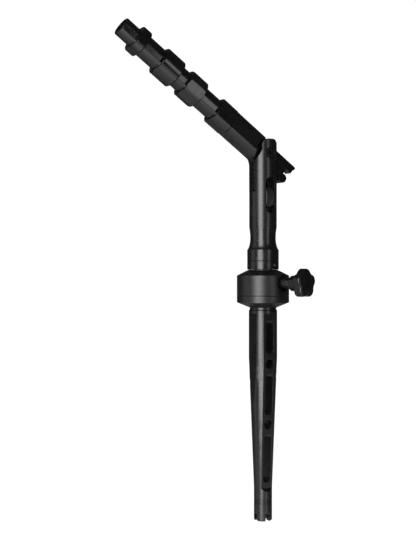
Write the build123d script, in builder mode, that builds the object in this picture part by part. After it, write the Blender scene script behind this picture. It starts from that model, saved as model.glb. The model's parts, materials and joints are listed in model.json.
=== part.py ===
"""Three-position tilting boom base: slotted socket insert, swivel collar, fork post and stepped spigot arm.

The origin is on the insert's axis at its slotted lower end, +Z is up, and the arm leans towards -X.
The hinge axis runs along Y. The arm stands at its lowest position, tilted away from upright.
"""

from build123d import *
from math import cos, radians, sin, sqrt
import os

os.makedirs("parts", exist_ok=True)

# Small edges, reliefs and proportions
THREAD_END = 0.4  # the spindle's thread past its nut
SPRING_SEAT = 2.0  # floor of the lock spring's pocket below the lock block
WINDOW_ROUNDING = 0.42  # corner radius of a window as a share of its lower width
BASE_STEP = 0.6  # the collar's foot beyond the insert's neck
BOSS_CHAMFER = 0.8
HUB_EDGE = 0.6  # shoulder under the neck hub's waist
HUB_CURVE = ((-0.15, -1), (0.62, -1))  # directions of the waist's profile at its ends
BOLT_CHAMFER = 0.5
BUTTON_PLAY = 0.6  # of a thumb button's shank across its slot, beyond the sliding fit
CUT_REACH = 1.3  # how far the index notches' cutters run past the fin
PLATE_RISE = 1.2  # top of the index plate as a multiple of the block's relief
REAR_SLOPE = 1.0  # lean of the index plate's rear edge
SADDLE_OVERLAP = 1.0  # of the block's underside into the spigot shaft
SADDLE_RELIEF = 0.4  # between that underside and the block's flat

# Fits
RUNNING = 0.05  # radial clearance of a shaft that turns in its bush
SLIDING = 0.10  # clearance on each side of a block that slides
FACE_GAP = 0.10  # axial clearance between faces that turn on each other
FREE_GAP = 0.35  # clearance between moving pieces that never touch

# Socket insert
END_RADIUS = 12.5
END_LENGTH = 45.0
END_CHAMFER = 1.2
INSERT_RADIUS = 19.5
INSERT_LENGTH = 290.0
TAPER_TOP = 224.5
RIM_HEIGHT = 5.0
RIM_CHAMFER = 1.0
FLAT_SHARE = cos(radians(30))  # a flat's distance from the axis, as a share of the radius
LOW_FLAT_DISTANCE = 9.0
FLAT_RUNOUT = 4.5
PIN_SLOT_WIDTH = 7.0
PIN_SLOT_DEPTH = 11.5
GROOVE_HEIGHTS = (23.6, 26.4, 29.2)
GROOVE_WIDTH = 1.2
GROOVE_DEPTH = 0.8
WINDOW_SPANS = ((53.0, 119.0), (146.0, 202.0), (230.0, 275.5))
WINDOW_WIDTH_LOW = 11.6
WINDOW_WIDTH_HIGH = 12.8
CROSS_HOLE_RADIUS = 6.25
CROSS_HOLE_HEIGHTS = (132.5, 216.0)

# Swivel collar
COLLAR_RADIUS = 36.0
COLLAR_GAP = 3.0
NECK_RADIUS = 18.3
NECK_GRIP = 6.0
CONE_HEIGHT = 7.0
BASE_HEIGHT = 16.4
BODY_HEIGHT = 34.6
SHOULDER_HEIGHT = 7.0
SHOULDER_RADIUS = 22.0
CAVITY_RADIUS = 22.5
SEAM_CHAMFER = 0.5
SPINDLE_RADIUS = 12.5
BUSH_WALL = 2.5
BUSH_LENGTH = 12.5
BUSH_FLANGE_RADIUS = 18.0
LOW_FLANGE = 2.3
TOP_FLANGE = 1.2
TOP_FLANGE_RADIUS = 20.5

# Clamp knob
KNOB_ANGLE = 290.0  # direction of the clamp stud about Z
STUD_HEIGHT = 326.5
STUD_RADIUS = 4.0
SPOT_RADIUS = 12.0
SPOT_DISTANCE = 31.0
BOSS_RADIUS = 8.0
BOSS_SPIGOT_RADIUS = 6.0
BOSS_SPIGOT_LENGTH = 6.0
BOSS_LENGTH = 16.5
PAD_LENGTH = 5.6
PAD_SEAT_RADIUS = 1.8
PAD_SEAT_DEPTH = 2.5
KNOB_WASHER_THICKNESS = 1.5
KNOB_WASHER_RADIUS = 7.0
KNOB_HUB_LENGTH = 14.5
KNOB_HUB_RADIUS = 10.5
KNOB_NECK_RADIUS = 11.5
KNOB_RADIUS = 20.0
KNOB_THICKNESS = 12.5
KNOB_LOBES = 5
LOBE_SHARE = 0.3  # a lobe's radius as a share of the knob's
CORE_SHARE = 0.75
VALLEY_SHARE = 0.2
KNOB_EDGE = 3.2
KNOB_INSERT_RADIUS = 6.2
KNOB_INSERT_LENGTH = 16.0

# Spindle and neck
SPINDLE_THREAD_RADIUS = 8.0
NUT_FLATS = 22.0
NUT_THICKNESS = 5.0
RETAINER_THICKNESS = 1.2
RETAINER_RADIUS = 17.0
SPINDLE_TOP_RADIUS = 11.0
SPINDLE_TOP_LENGTH = 28.0
HUB_RADIUS = 21.75
LOCK_RING_HEIGHT = 11.7
SET_SCREW_RADIUS = 2.5
SET_SCREW_COUNT = 3
SET_SCREW_ANGLE = 283.0
SET_SCREW_SINK = 1.2
HUB_CYLINDER = 16.0
HUB_HEIGHT = 47.0
WAIST_RADIUS = 17.6
WAIST_HEIGHT = 32.5
HUB_SPIGOT_RADIUS = 12.0
HUB_SPIGOT_LENGTH = 6.0

# Fork post
POST_RADIUS = 19.0
PIVOT_ABOVE_POST = 100.5
CHEEK_TOP = 19.5
CHEEK_HALF_WIDTH = 11.0
CHEEK_SHOULDER = -12.5
CHEEK_NECK = 4.0
CHEEK_FILLET = 9.0
CHEEK_CORNER = 8.0
CHEEK_RADIUS = 20.6
TONGUE_THICKNESS = 13.0
WASHER_THICKNESS = 1.0
WASHER_RADIUS = 11.0
FORK_FLOOR_GAP = 1.5
PIVOT_RADIUS = 5.0
PIVOT_HEAD_RADIUS = 7.5
PIVOT_HEAD_SEAT = 13.5
PIVOT_HEAD_THICKNESS = 3.7
PIVOT_BUSH_WALL = 2.0

# Index plate on the arm, measured from the pivot
TILT_STEP = 27.5
TILT_REST = 2 * TILT_STEP
FIN_RADIUS = 54.0
ROOT_RADIUS = 39.0
LAND_CENTRE_RADIUS = 42.8
LAND_RADIUS = 6.35
NOTCH_WIDTH = 7.7
REAR_EDGE = 14.7
REAR_REACH = 50.6
REAR_STEP = (5.2, 1.8)
FIN_FRONT_ANGLE = 75.0
ELBOW_ALONG = 10.9
ELBOW_FILLET = 20.0

# Thumb lock
TOOTH_WIDTH = 7.0
TOOTH_THICKNESS = 12.0
LOCK_CLEAR = 0.85  # gap between the tooth and a passing land while the lock is drawn down
LOCK_BLOCK_WIDTH = 14.0
LOCK_BLOCK_HEIGHT = 20.5
LOCK_SHOULDER_DROP = 16.0
LOCK_PAD_REACH = 0.7
LOCK_PAD_RADIUS = 4.4
CROSS_PIN_RADIUS = 3.0
CROSS_PIN_REACH = 6.5
BUTTON_SLOT_WIDTH = 14.0
BUTTON_SLOT_LOW = -82.0
BUTTON_SLOT_HIGH = -33.0
BUTTON_LOW = -74.5
BUTTON_HEIGHT = 29.0
BUTTON_FACE = 18.6
BUTTON_EDGE = 1.6
SPRING_RADIUS = 5.2
SPRING_WIRE = 1.1
SPRING_BORE_RADIUS = 6.0
SPRING_SEAT_DEPTH = 6.0
GUIDE_SCREW_RADIUS = 2.8
GUIDE_SCREW_DROP = 68.0

# Arm, distances along its axis from the pivot
ARM_RADIUS = 19.5
BLOCK_START = 8.0
BLOCK_RELIEF = 21.2  # radius about the pivot that the block keeps clear for the cheeks
BLOCK_END = 67.8
SHAFT_RADIUS = 15.0
SHAFT_START = 32.0
TIP_RADIUS = 13.0
TIP_END = 263.2
TIP_CHAMFER = 1.0
TIP_BORE_RADIUS = 9.5
TIP_BORE_DEPTH = 40.0
RING_RADIUS = 20.0
RING_CHAMFER = 1.4
REAR_RING = (67.8, 96.0)
MIDDLE_RING = (124.9, 152.2)
FRONT_RING = (166.8, 197.0)
TIP_RING = (225.8, 240.3)
TIP_RING_RADIUS = 19.3
MIDDLE_RING_APOTHEM = 18.9
KEYWAY_WIDTH = 7.0
KEYWAY_DEPTH = 2.6
KEYWAY_ANGLE = 256.0
BLOCK_SCREW_RADIUS = 3.5
BLOCK_SCREW_ALONG = 51.0

# Heights and distances that follow from the values above
neck_top = INSERT_LENGTH + COLLAR_GAP + NECK_GRIP
base_bottom = INSERT_LENGTH + COLLAR_GAP
base_top = base_bottom + BASE_HEIGHT
collar_top = base_top + BODY_HEIGHT
bush_radius = SPINDLE_RADIUS + BUSH_WALL
ring_bottom = collar_top + TOP_FLANGE + FACE_GAP
ring_top = ring_bottom + LOCK_RING_HEIGHT
hub_top = ring_top + HUB_HEIGHT
post_bottom = hub_top
pivot_z = post_bottom + PIVOT_ABOVE_POST
fork_width = TONGUE_THICKNESS + 2 * (WASHER_THICKNESS + FACE_GAP)
fork_floor_radius = FIN_RADIUS + FORK_FLOOR_GAP
spindle_shoulder = base_top - LOW_FLANGE - FACE_GAP
spindle_end = spindle_shoulder - RETAINER_THICKNESS - NUT_THICKNESS - THREAD_END
tooth_top = pivot_z - LAND_CENTRE_RADIUS - LAND_RADIUS - LOCK_CLEAR
block_top = tooth_top - LOCK_SHOULDER_DROP
block_bottom = block_top - LOCK_BLOCK_HEIGHT
pocket_floor = block_bottom - SPRING_SEAT
spring_floor = hub_top - SPRING_SEAT_DEPTH
boss_end = SPOT_DISTANCE + BOSS_LENGTH
lobe_radius = LOBE_SHARE * KNOB_RADIUS
knob_back = boss_end + FREE_GAP + KNOB_WASHER_THICKNESS
lobe_back = knob_back + KNOB_HUB_LENGTH
pad_face = SPINDLE_RADIUS + FREE_GAP
stud_start = pad_face + PAD_LENGTH
notch_half = NOTCH_WIDTH / 2

# Planes and axes
tilt = radians(TILT_REST)
arm_across = (cos(tilt), 0, sin(tilt))
arm_along = (-sin(tilt), 0, cos(tilt))
pivot_point = (0, 0, pivot_z)
arm_plane = Plane(origin=pivot_point, x_dir=arm_across, z_dir=arm_along)
arm_side = Plane(origin=pivot_point, x_dir=arm_across, z_dir=(0, -1, 0))
arm_axis = Axis(pivot_point, arm_along)
post_side = Plane(origin=pivot_point, x_dir=(1, 0, 0), z_dir=(0, -1, 0))
knob_direction = (cos(radians(KNOB_ANGLE)), sin(radians(KNOB_ANGLE)), 0)
knob_plane = Plane(origin=(0, 0, STUD_HEIGHT), x_dir=(0, 0, 1), z_dir=knob_direction)
knob_side = Plane(
    origin=(0, 0, STUD_HEIGHT), x_dir=(0, 0, 1), z_dir=(-knob_direction[1], knob_direction[0], 0)
)
knob_axis = Axis((0, 0, STUD_HEIGHT), knob_direction)


def outline(*points):
    """Adds the area inside straight lines through the points to the current sketch."""
    Polygon(*points, align=None)


def finish(piece, label):
    """Names a finished piece and writes it to its own file."""
    piece.part.label = label
    export_step(piece.part, f"parts/{label}.step")


def window_width(height):
    """Width of the insert's windows at a height, narrowing with the taper."""
    share = (height - WINDOW_SPANS[0][0]) / (WINDOW_SPANS[-1][1] - WINDOW_SPANS[0][0])
    return WINDOW_WIDTH_LOW + share * (WINDOW_WIDTH_HIGH - WINDOW_WIDTH_LOW)


def notch_point(radius, angle, beyond):
    """Point at a radius along the notch at an angle from straight down, and beyond its centre line."""
    a = radians(angle)
    return (-radius * sin(a) - beyond * cos(a), -radius * cos(a) + beyond * sin(a))


# ---------------------------------------------------------------- socket insert
flat_distance = INSERT_RADIUS * FLAT_SHARE
flat_top = INSERT_LENGTH - RIM_HEIGHT

with BuildPart() as insert_body:
    with BuildSketch(Plane.XZ):
        outline(
            (0, 0),
            (END_RADIUS - END_CHAMFER, 0),
            (END_RADIUS, END_CHAMFER),
            (END_RADIUS, END_LENGTH),
            (INSERT_RADIUS, TAPER_TOP),
            (INSERT_RADIUS, INSERT_LENGTH - RIM_CHAMFER),
            (INSERT_RADIUS - RIM_CHAMFER, INSERT_LENGTH),
            (NECK_RADIUS, INSERT_LENGTH),
            (NECK_RADIUS, neck_top),
            (0, neck_top),
        )
    revolve(axis=Axis.Z)
    for side in (-1, 1):
        with BuildSketch(Plane.XZ):
            outline(
                (side * flat_distance, END_LENGTH),
                (side * flat_distance, flat_top),
                (side * 2 * INSERT_RADIUS, flat_top),
                (side * 2 * INSERT_RADIUS, END_LENGTH),
            )
        extrude(amount=INSERT_RADIUS, both=True, mode=Mode.SUBTRACT)
        with BuildSketch(Plane.YZ):
            outline(
                (side * flat_distance, flat_top),
                (side * flat_distance, TAPER_TOP),
                (side * LOW_FLAT_DISTANCE, END_LENGTH),
                (side * END_RADIUS, END_LENGTH - FLAT_RUNOUT),
                (side * 2 * INSERT_RADIUS, END_LENGTH - FLAT_RUNOUT),
                (side * 2 * INSERT_RADIUS, flat_top),
            )
        extrude(amount=INSERT_RADIUS, both=True, mode=Mode.SUBTRACT)
    for low, high in WINDOW_SPANS:
        with BuildSketch(Plane.XZ) as window:
            outline(
                (-window_width(low) / 2, low),
                (window_width(low) / 2, low),
                (window_width(high) / 2, high),
                (-window_width(high) / 2, high),
            )
            fillet(window.vertices(), WINDOW_ROUNDING * window_width(low))
        extrude(amount=INSERT_RADIUS, both=True, mode=Mode.SUBTRACT)
    with BuildSketch(Plane.XZ):
        with Locations(*[(0, height) for height in CROSS_HOLE_HEIGHTS]):
            Circle(CROSS_HOLE_RADIUS)
    extrude(amount=INSERT_RADIUS, both=True, mode=Mode.SUBTRACT)
    for slot_plane in (Plane.XZ, Plane.YZ):
        with BuildSketch(slot_plane):
            with Locations((0, 0)):
                Rectangle(PIN_SLOT_WIDTH, 2 * PIN_SLOT_DEPTH - PIN_SLOT_WIDTH)
            with Locations((0, PIN_SLOT_DEPTH - PIN_SLOT_WIDTH / 2)):
                Circle(PIN_SLOT_WIDTH / 2)
        extrude(amount=INSERT_RADIUS, both=True, mode=Mode.SUBTRACT)
    with BuildSketch(Plane.XZ):
        with Locations(*[(END_RADIUS, height) for height in GROOVE_HEIGHTS]):
            Rectangle(2 * GROOVE_DEPTH, GROOVE_WIDTH)
    revolve(axis=Axis.Z, mode=Mode.SUBTRACT)
finish(insert_body, "insert_body")

# ---------------------------------------------------------------- swivel collar
with BuildPart() as collar_base:
    with BuildSketch(Plane.XZ):
        outline(
            (NECK_RADIUS, base_bottom),
            (NECK_RADIUS + BASE_STEP, base_bottom),
            (COLLAR_RADIUS, base_bottom + CONE_HEIGHT),
            (COLLAR_RADIUS, base_top - SEAM_CHAMFER),
            (COLLAR_RADIUS - SEAM_CHAMFER, base_top),
            (CAVITY_RADIUS, base_top),
            (CAVITY_RADIUS, neck_top),
            (NECK_RADIUS, neck_top),
        )
    revolve(axis=Axis.Z)
finish(collar_base, "collar_base")

with BuildPart() as collar_body:
    with BuildSketch(Plane.XZ):
        outline(
            (bush_radius, base_top),
            (COLLAR_RADIUS - SEAM_CHAMFER, base_top),
            (COLLAR_RADIUS, base_top + SEAM_CHAMFER),
            (COLLAR_RADIUS, collar_top - SHOULDER_HEIGHT),
            (SHOULDER_RADIUS, collar_top),
            (bush_radius, collar_top),
            (bush_radius, collar_top - BUSH_LENGTH),
            (SPINDLE_RADIUS + 2 * FREE_GAP, collar_top - BUSH_LENGTH),
            (SPINDLE_RADIUS + 2 * FREE_GAP, base_top + BUSH_LENGTH),
            (bush_radius, base_top + BUSH_LENGTH),
        )
    revolve(axis=Axis.Z)
    with BuildSketch(knob_plane.offset(SPOT_DISTANCE)):
        Circle(SPOT_RADIUS)
    extrude(amount=COLLAR_RADIUS, mode=Mode.SUBTRACT)
    with BuildSketch(knob_plane.offset(SPOT_DISTANCE - BOSS_SPIGOT_LENGTH)):
        Circle(BOSS_SPIGOT_RADIUS)
    extrude(amount=COLLAR_RADIUS, mode=Mode.SUBTRACT)
    with BuildSketch(knob_plane):
        Circle(STUD_RADIUS + RUNNING)
    extrude(amount=COLLAR_RADIUS, mode=Mode.SUBTRACT)
finish(collar_body, "collar_body")

with BuildPart() as lower_bush:
    with BuildSketch(Plane.XZ):
        outline(
            (SPINDLE_RADIUS + RUNNING, base_top - LOW_FLANGE),
            (BUSH_FLANGE_RADIUS, base_top - LOW_FLANGE),
            (BUSH_FLANGE_RADIUS, base_top),
            (bush_radius, base_top),
            (bush_radius, base_top + BUSH_LENGTH),
            (SPINDLE_RADIUS + RUNNING, base_top + BUSH_LENGTH),
        )
    revolve(axis=Axis.Z)
finish(lower_bush, "lower_bush")

with BuildPart() as upper_bush:
    with BuildSketch(Plane.XZ):
        outline(
            (SPINDLE_RADIUS + RUNNING, collar_top - BUSH_LENGTH),
            (bush_radius, collar_top - BUSH_LENGTH),
            (bush_radius, collar_top),
            (TOP_FLANGE_RADIUS, collar_top),
            (TOP_FLANGE_RADIUS, collar_top + TOP_FLANGE),
            (SPINDLE_RADIUS + RUNNING, collar_top + TOP_FLANGE),
        )
    revolve(axis=Axis.Z)
finish(upper_bush, "upper_bush")

with BuildPart() as stud_boss:
    with BuildSketch(knob_plane.offset(SPOT_DISTANCE)):
        Circle(BOSS_RADIUS)
    extrude(amount=BOSS_LENGTH)
    chamfer(stud_boss.edges().sort_by(knob_axis)[-1], BOSS_CHAMFER)
    with BuildSketch(knob_plane.offset(SPOT_DISTANCE - BOSS_SPIGOT_LENGTH)):
        Circle(BOSS_SPIGOT_RADIUS)
    extrude(amount=BOSS_SPIGOT_LENGTH)
    with BuildSketch(knob_plane):
        Circle(STUD_RADIUS + RUNNING)
    extrude(amount=2 * boss_end, mode=Mode.SUBTRACT)
finish(stud_boss, "stud_boss")

# ---------------------------------------------------------------- clamp knob
with BuildPart() as clamp_pad:
    with BuildSketch(knob_plane.offset(pad_face)):
        Circle(STUD_RADIUS - RUNNING)
    extrude(amount=PAD_LENGTH)
    with BuildSketch(knob_plane.offset(stud_start - PAD_SEAT_DEPTH)):
        Circle(PAD_SEAT_RADIUS + RUNNING)
    extrude(amount=PAD_SEAT_DEPTH, mode=Mode.SUBTRACT)
finish(clamp_pad, "clamp_pad")

with BuildPart() as clamp_stud:
    with BuildSketch(knob_plane.offset(stud_start + FACE_GAP)):
        Circle(STUD_RADIUS)
    extrude(amount=knob_back + KNOB_INSERT_LENGTH - stud_start - FACE_GAP)
    with BuildSketch(knob_plane.offset(stud_start - PAD_SEAT_DEPTH + FACE_GAP)):
        Circle(PAD_SEAT_RADIUS)
    extrude(amount=PAD_SEAT_DEPTH)
finish(clamp_stud, "clamp_stud")

with BuildPart() as knob_washer:
    with BuildSketch(knob_plane.offset(boss_end + FREE_GAP)):
        Circle(KNOB_WASHER_RADIUS)
        Circle(STUD_RADIUS, mode=Mode.SUBTRACT)
    extrude(amount=KNOB_WASHER_THICKNESS)
finish(knob_washer, "knob_washer")

with BuildPart() as knob_insert:
    with BuildSketch(knob_plane.offset(knob_back)):
        Circle(KNOB_INSERT_RADIUS)
        Circle(STUD_RADIUS, mode=Mode.SUBTRACT)
    extrude(amount=KNOB_INSERT_LENGTH)
finish(knob_insert, "knob_insert")

with BuildPart() as star_knob:
    with BuildSketch(knob_plane.offset(lobe_back)) as star:
        Circle(CORE_SHARE * KNOB_RADIUS)
        with PolarLocations(KNOB_RADIUS - lobe_radius, KNOB_LOBES):
            Circle(lobe_radius)
        fillet(star.vertices(), VALLEY_SHARE * KNOB_RADIUS)
    extrude(amount=KNOB_THICKNESS)
    fillet(star_knob.faces().sort_by(knob_axis)[-1].edges(), KNOB_EDGE)
    fillet(star_knob.faces().sort_by(knob_axis)[0].edges(), KNOB_EDGE / 2)
    with BuildSketch(knob_plane.offset(knob_back)):
        Circle(KNOB_HUB_RADIUS)
    with BuildSketch(knob_plane.offset(lobe_back + KNOB_EDGE)):
        Circle(KNOB_NECK_RADIUS)
    loft()
    with BuildSketch(knob_plane.offset(knob_back)):
        Circle(KNOB_INSERT_RADIUS)
    extrude(amount=KNOB_INSERT_LENGTH, mode=Mode.SUBTRACT)
finish(star_knob, "star_knob")

# ---------------------------------------------------------------- spindle and neck
with BuildPart() as spindle:
    with BuildSketch(Plane.XZ):
        outline(
            (0, spindle_end),
            (SPINDLE_THREAD_RADIUS, spindle_end),
            (SPINDLE_THREAD_RADIUS, spindle_shoulder),
            (SPINDLE_RADIUS, spindle_shoulder),
            (SPINDLE_RADIUS, ring_top),
            (SPINDLE_TOP_RADIUS, ring_top),
            (SPINDLE_TOP_RADIUS, ring_top + SPINDLE_TOP_LENGTH),
            (0, ring_top + SPINDLE_TOP_LENGTH),
        )
    revolve(axis=Axis.Z)
finish(spindle, "spindle")

with BuildPart() as retaining_washer:
    with BuildSketch(Plane.XY.offset(spindle_shoulder - RETAINER_THICKNESS)):
        Circle(RETAINER_RADIUS)
        Circle(SPINDLE_THREAD_RADIUS, mode=Mode.SUBTRACT)
    extrude(amount=RETAINER_THICKNESS)
finish(retaining_washer, "retaining_washer")

with BuildPart() as spindle_nut:
    with BuildSketch(Plane.XY.offset(spindle_shoulder - RETAINER_THICKNESS - NUT_THICKNESS)):
        RegularPolygon(NUT_FLATS / 2, 6, major_radius=False)
        Circle(SPINDLE_THREAD_RADIUS, mode=Mode.SUBTRACT)
    extrude(amount=NUT_THICKNESS)
finish(spindle_nut, "spindle_nut")

screw_height = ring_bottom + LOCK_RING_HEIGHT / 2
screw_places = PolarLocations(0, SET_SCREW_COUNT, start_angle=SET_SCREW_ANGLE)
screw_planes = [
    Plane(origin=(0, 0, screw_height), x_dir=(0, 0, 1), z_dir=place.x_axis.direction)
    for place in screw_places.locations
]

with BuildPart() as lock_ring:
    with BuildSketch(Plane.XZ):
        outline(
            (SPINDLE_RADIUS, ring_bottom),
            (HUB_RADIUS - SEAM_CHAMFER, ring_bottom),
            (HUB_RADIUS, ring_bottom + SEAM_CHAMFER),
            (HUB_RADIUS, ring_top - SEAM_CHAMFER),
            (HUB_RADIUS - SEAM_CHAMFER, ring_top),
            (SPINDLE_RADIUS, ring_top),
        )
    revolve(axis=Axis.Z)
    for plane in screw_planes:
        with BuildSketch(plane):
            Circle(SET_SCREW_RADIUS)
        extrude(amount=2 * HUB_RADIUS, mode=Mode.SUBTRACT)
finish(lock_ring, "lock_ring")

with BuildPart() as ring_set_screws:
    for plane in screw_planes:
        with BuildSketch(plane.offset(SPINDLE_RADIUS)):
            Circle(SET_SCREW_RADIUS)
        extrude(amount=HUB_RADIUS - SPINDLE_RADIUS - SET_SCREW_SINK)
        with BuildSketch(plane.offset(HUB_RADIUS - SET_SCREW_SINK)):
            RegularPolygon(SET_SCREW_RADIUS / 2, 6, major_radius=False)
        extrude(amount=-SET_SCREW_RADIUS, mode=Mode.SUBTRACT)
finish(ring_set_screws, "ring_set_screws")

waist_z = ring_top + WAIST_HEIGHT
with BuildPart() as neck_hub:
    with BuildSketch(Plane.XZ):
        with BuildLine():
            Polyline(
                (HUB_RADIUS - HUB_EDGE, ring_top + HUB_CYLINDER),
                (HUB_RADIUS, ring_top + HUB_CYLINDER - HUB_EDGE),
                (HUB_RADIUS, ring_top + SEAM_CHAMFER),
                (HUB_RADIUS - SEAM_CHAMFER, ring_top),
                (SPINDLE_TOP_RADIUS, ring_top),
                (SPINDLE_TOP_RADIUS, ring_top + SPINDLE_TOP_LENGTH),
                (0, ring_top + SPINDLE_TOP_LENGTH),
                (0, spring_floor),
                (SPRING_BORE_RADIUS, spring_floor),
                (SPRING_BORE_RADIUS, hub_top + HUB_SPIGOT_LENGTH),
                (HUB_SPIGOT_RADIUS, hub_top + HUB_SPIGOT_LENGTH),
                (HUB_SPIGOT_RADIUS, hub_top),
                (POST_RADIUS, hub_top),
            )
            Spline(
                (POST_RADIUS, hub_top),
                (WAIST_RADIUS, waist_z),
                (HUB_RADIUS - HUB_EDGE, ring_top + HUB_CYLINDER),
                tangents=HUB_CURVE,
            )
        make_face()
    revolve(axis=Axis.Z)
finish(neck_hub, "neck_hub")

# ---------------------------------------------------------------- fork post
block_reach = LOCK_BLOCK_WIDTH / 2 + SLIDING
pocket_depth = block_top + LOCK_SHOULDER_DROP - pocket_floor
guide_screw_z = pivot_z - GUIDE_SCREW_DROP
guide_plane = Plane(origin=(0, 0, guide_screw_z), x_dir=(0, 0, 1), z_dir=(-1, 0, 0))

with BuildPart() as post:
    with BuildSketch(post_side) as cheek:
        outline(
            (-CHEEK_HALF_WIDTH, CHEEK_TOP),
            (-CHEEK_HALF_WIDTH, CHEEK_NECK),
            (-POST_RADIUS, CHEEK_SHOULDER),
            (-POST_RADIUS, -PIVOT_ABOVE_POST),
            (POST_RADIUS, -PIVOT_ABOVE_POST),
            (POST_RADIUS, CHEEK_TOP),
        )
        for level in (-2, 1):
            fillet(cheek.vertices().group_by(Axis.Y)[level], CHEEK_FILLET)
        fillet(cheek.vertices().sort_by_distance((-CHEEK_HALF_WIDTH, CHEEK_TOP))[0], CHEEK_CORNER)
        with BuildSketch(post_side, mode=Mode.INTERSECT):
            Circle(CHEEK_RADIUS)
            with Locations((0, -PIVOT_ABOVE_POST / 2)):
                Rectangle(2 * POST_RADIUS, PIVOT_ABOVE_POST)
    extrude(amount=POST_RADIUS, both=True)
    with BuildSketch(Plane.XY.offset(post_bottom)):
        Circle(POST_RADIUS)
    extrude(amount=PIVOT_ABOVE_POST + CHEEK_TOP, mode=Mode.INTERSECT)
    with BuildSketch(post_side):
        Circle(fork_floor_radius)
        with Locations((0, fork_floor_radius / 2)):
            Rectangle(2 * fork_floor_radius, fork_floor_radius)
    extrude(amount=fork_width / 2, both=True, mode=Mode.SUBTRACT)
    with BuildSketch(Plane.XY.offset(pocket_floor)):
        Rectangle(2 * block_reach, fork_width)
    extrude(amount=pocket_depth, mode=Mode.SUBTRACT)
    with BuildSketch(Plane.XY.offset(post_bottom)):
        Circle(SPRING_BORE_RADIUS)
    extrude(amount=pocket_floor - post_bottom, mode=Mode.SUBTRACT)
    with BuildSketch(Plane.XY.offset(post_bottom)):
        Circle(HUB_SPIGOT_RADIUS)
    extrude(amount=HUB_SPIGOT_LENGTH + SLIDING, mode=Mode.SUBTRACT)
    with BuildSketch(post_side):
        with Locations((0, (BUTTON_SLOT_LOW + BUTTON_SLOT_HIGH) / 2)):
            SlotOverall(BUTTON_SLOT_HIGH - BUTTON_SLOT_LOW, BUTTON_SLOT_WIDTH, rotation=90)
    extrude(amount=POST_RADIUS, both=True, mode=Mode.SUBTRACT)
    with BuildSketch(post_side):
        Circle(PIVOT_RADIUS)
    extrude(amount=POST_RADIUS, both=True, mode=Mode.SUBTRACT)
    for direction in (-1, 1):
        with BuildSketch(post_side.offset(direction * PIVOT_HEAD_SEAT)):
            Circle(PIVOT_HEAD_RADIUS + SLIDING)
        extrude(amount=direction * POST_RADIUS, mode=Mode.SUBTRACT)
    with BuildSketch(guide_plane):
        Circle(GUIDE_SCREW_RADIUS)
    extrude(amount=POST_RADIUS, mode=Mode.SUBTRACT)
finish(post, "post")

with BuildPart() as guide_screw:
    with BuildSketch(guide_plane.offset(block_reach + FREE_GAP)):
        Circle(GUIDE_SCREW_RADIUS)
    extrude(amount=POST_RADIUS - SET_SCREW_SINK - block_reach - FREE_GAP)
    with BuildSketch(guide_plane.offset(POST_RADIUS - SET_SCREW_SINK)):
        RegularPolygon(GUIDE_SCREW_RADIUS / 2, 6, major_radius=False)
    extrude(amount=-GUIDE_SCREW_RADIUS, mode=Mode.SUBTRACT)
finish(guide_screw, "guide_screw")

with BuildPart() as pivot_bolt:
    with BuildSketch(post_side.offset(PIVOT_HEAD_SEAT)):
        Circle(PIVOT_RADIUS)
    extrude(amount=-2 * PIVOT_HEAD_SEAT)
    with BuildSketch(post_side.offset(PIVOT_HEAD_SEAT)):
        Circle(PIVOT_HEAD_RADIUS)
    extrude(amount=PIVOT_HEAD_THICKNESS)
    chamfer(pivot_bolt.edges().sort_by(Axis.Y)[0], BOLT_CHAMFER)
    with BuildSketch(post_side.offset(PIVOT_HEAD_SEAT + PIVOT_HEAD_THICKNESS)):
        RegularPolygon(PIVOT_RADIUS / 2, 6, major_radius=False)
    extrude(amount=-PIVOT_HEAD_THICKNESS, mode=Mode.SUBTRACT)
finish(pivot_bolt, "pivot_bolt")

with BuildPart() as pivot_nut:
    with BuildSketch(post_side.offset(-PIVOT_HEAD_SEAT)):
        Circle(PIVOT_HEAD_RADIUS)
    extrude(amount=-PIVOT_HEAD_THICKNESS)
    chamfer(pivot_nut.edges().sort_by(Axis.Y)[-1], BOLT_CHAMFER)
    with BuildSketch(post_side.offset(-PIVOT_HEAD_SEAT - PIVOT_HEAD_THICKNESS)):
        RegularPolygon(PIVOT_RADIUS / 2, 6, major_radius=False)
    extrude(amount=PIVOT_HEAD_THICKNESS / 2, mode=Mode.SUBTRACT)
finish(pivot_nut, "pivot_nut")

# ---------------------------------------------------------------- thumb lock, drawn down
block_y = fork_width / 2 - SLIDING
pad_y = fork_width / 2 + LOCK_PAD_REACH
button_low = pivot_z + BUTTON_LOW
cross_pin_z = (button_low + block_top) / 2
cross_pin_plane = Plane(origin=(0, 0, cross_pin_z), x_dir=(1, 0, 0), z_dir=(0, -1, 0))
pin_reach = pad_y + CROSS_PIN_REACH

with BuildPart() as lock_block:
    with BuildSketch(Plane.XY.offset(block_bottom)):
        Rectangle(LOCK_BLOCK_WIDTH, 2 * block_y)
    extrude(amount=LOCK_BLOCK_HEIGHT)
    with BuildSketch(Plane.XZ):
        with Locations((0, (block_top + tooth_top - TOOTH_WIDTH / 2) / 2)):
            Rectangle(TOOTH_WIDTH, tooth_top - TOOTH_WIDTH / 2 - block_top)
        with Locations((0, tooth_top - TOOTH_WIDTH / 2)):
            Circle(TOOTH_WIDTH / 2)
    extrude(amount=TOOTH_THICKNESS / 2, both=True)
    with BuildSketch(cross_pin_plane):
        Circle(LOCK_PAD_RADIUS)
    extrude(amount=pad_y, both=True)
    with BuildSketch(cross_pin_plane):
        Circle(CROSS_PIN_RADIUS)
    extrude(amount=pad_y, both=True, mode=Mode.SUBTRACT)
finish(lock_block, "lock_block")

with BuildPart() as cross_pin:
    with BuildSketch(cross_pin_plane):
        Circle(CROSS_PIN_RADIUS)
    extrude(amount=pin_reach, both=True)
finish(cross_pin, "cross_pin")

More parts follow.
